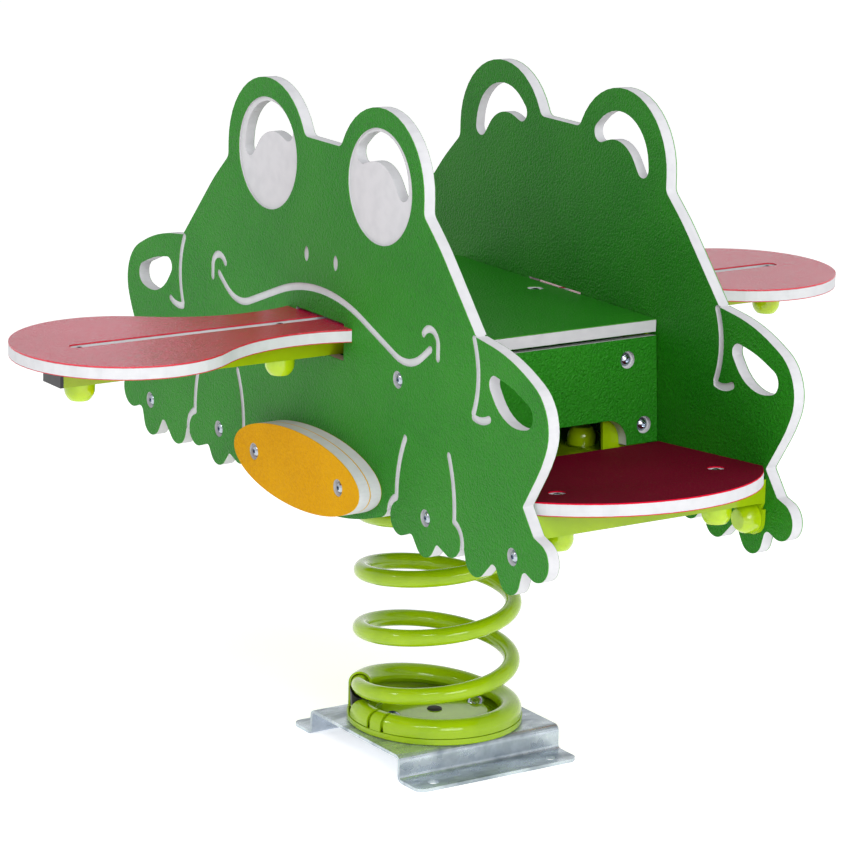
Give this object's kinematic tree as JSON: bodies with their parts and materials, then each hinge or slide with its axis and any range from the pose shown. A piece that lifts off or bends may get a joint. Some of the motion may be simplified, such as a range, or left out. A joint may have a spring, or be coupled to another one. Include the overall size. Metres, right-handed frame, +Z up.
{
  "type": "spring rocker seesaw",
  "caption": "Seesaw-style spring rocker: a coil spring carries two frog-shaped panels, a bench between them, a tongue seat at each end and a footrest at each side.",
  "frame": {"origin": "centre of the ground plate's underside, on the spring's axis, at footing level", "axes": "+X along the tongues towards the back tongue, +Y towards the right footrest, +Z up"},
  "size_m": [1.099, 0.98, 0.7948],
  "materials": {
    "green_sheet": "orange-peel textured skin over a white core, all routed lines and edges show the white core",
    "red_sheet": "textured dark red skin over a white core that shows at the edges",
    "yellow_sheet": "lightly textured yellow skin over a white core",
    "lime_coat": "gloss lime powder coat on steel",
    "lime_caps": "smooth lime plastic",
    "bright_zinc": "bright zinc plate",
    "galvanised": "hot-dip galvanised, faint spangle",
    "black_rubber": "matte black rubber",
    "black_plastic": "matte black plastic"
  },
  "bodies": {
    "base": {"ground_plate": "galvanised", "lower_spring_dish": "lime_coat", "lower_dish_bolts": "bright_zinc", "lower_dish_nuts": "bright_zinc", "dish_plug": "black_rubber", "lower_coil_clip": "lime_coat", "coil_spacer": "black_rubber", "coil_sleeves": "lime_coat", "spring_bottom_coil": "lime_coat"},
    "lower_turn": {"spring_turn_lower": "lime_coat"},
    "middle_turn": {"spring_turn_middle": "lime_coat"},
    "upper_turn": {"spring_turn_upper": "lime_coat"},
    "rocker": {"spring_top_coil": "lime_coat", "upper_spring_dish": "lime_coat", "upper_coil_clips": "lime_coat", "upper_dish_bolts": "bright_zinc", "upper_dish_nuts": "bright_zinc", "spring_head": "lime_coat", "support_tray": "lime_coat", "head_bolts": "bright_zinc", "head_nuts": "bright_zinc", "head_caps": "lime_caps", "bracket_front_left": "lime_coat", "bracket_front_right": "lime_coat", "bracket_back_left": "lime_coat", "bracket_back_right": "lime_coat", "rail_post_front": "lime_coat", "rail_post_back": "lime_coat", "tongue_rail": "lime_coat", "rail_plug_front": "black_plastic", "rail_plug_back": "black_plastic", "seat_packers": "black_plastic", "bench_angles": "lime_coat", "panel_front": "green_sheet", "panel_back": "green_sheet", "pad_front_inner": "yellow_sheet", "pad_front_outer": "yellow_sheet", "pad_back_inner": "yellow_sheet", "pad_back_outer": "yellow_sheet", "tongue_front": "red_sheet", "tongue_back": "red_sheet", "tongue_bolts": "bright_zinc", "tongue_nuts": "bright_zinc", "tongue_caps": "lime_caps", "seat_top": "green_sheet", "seat_bolts": "bright_zinc", "seat_nuts": "bright_zinc", "side_board_left": "green_sheet", "side_board_right": "green_sheet", "board_bolts": "bright_zinc", "board_nuts": "bright_zinc", "footrest_left": "red_sheet", "footrest_right": "red_sheet", "footrest_bolts": "bright_zinc", "footrest_nuts": "bright_zinc", "footrest_caps": "lime_caps", "panel_bolts": "bright_zinc", "panel_nuts": "bright_zinc", "panel_caps": "lime_caps"}
  },
  "joints": [
    {"name": "bounce", "type": "slide", "parent": "base", "child": "lower_turn", "axis": [0, 0, 1], "range_m": [-0.025, 0.01], "stiffness_N_per_m": 69500, "springref_m": 0.00601, "deforming": ["spring_bottom_coil"]},
    {"name": "rock", "type": "hinge", "parent": "lower_turn", "child": "middle_turn", "pos_m": [0, 0, 0.186], "axis": [0, 1, 0], "range_deg": [-15, 15], "stiffness_Nm_per_rad": 637, "deforming": ["spring_turn_lower"]},
    {"name": "sway", "type": "hinge", "parent": "middle_turn", "child": "upper_turn", "pos_m": [0, 0, 0.186], "axis": [1, 0, 0], "range_deg": [-9, 9], "stiffness_Nm_per_rad": 637, "deforming": ["spring_turn_middle"]},
    {"name": "twist", "type": "hinge", "parent": "upper_turn", "child": "rocker", "pos_m": [0, 0, 0.186], "axis": [0, 0, 1], "range_deg": [-7, 7], "stiffness_Nm_per_rad": 734, "deforming": ["spring_turn_upper", "spring_top_coil"]}
  ]
}
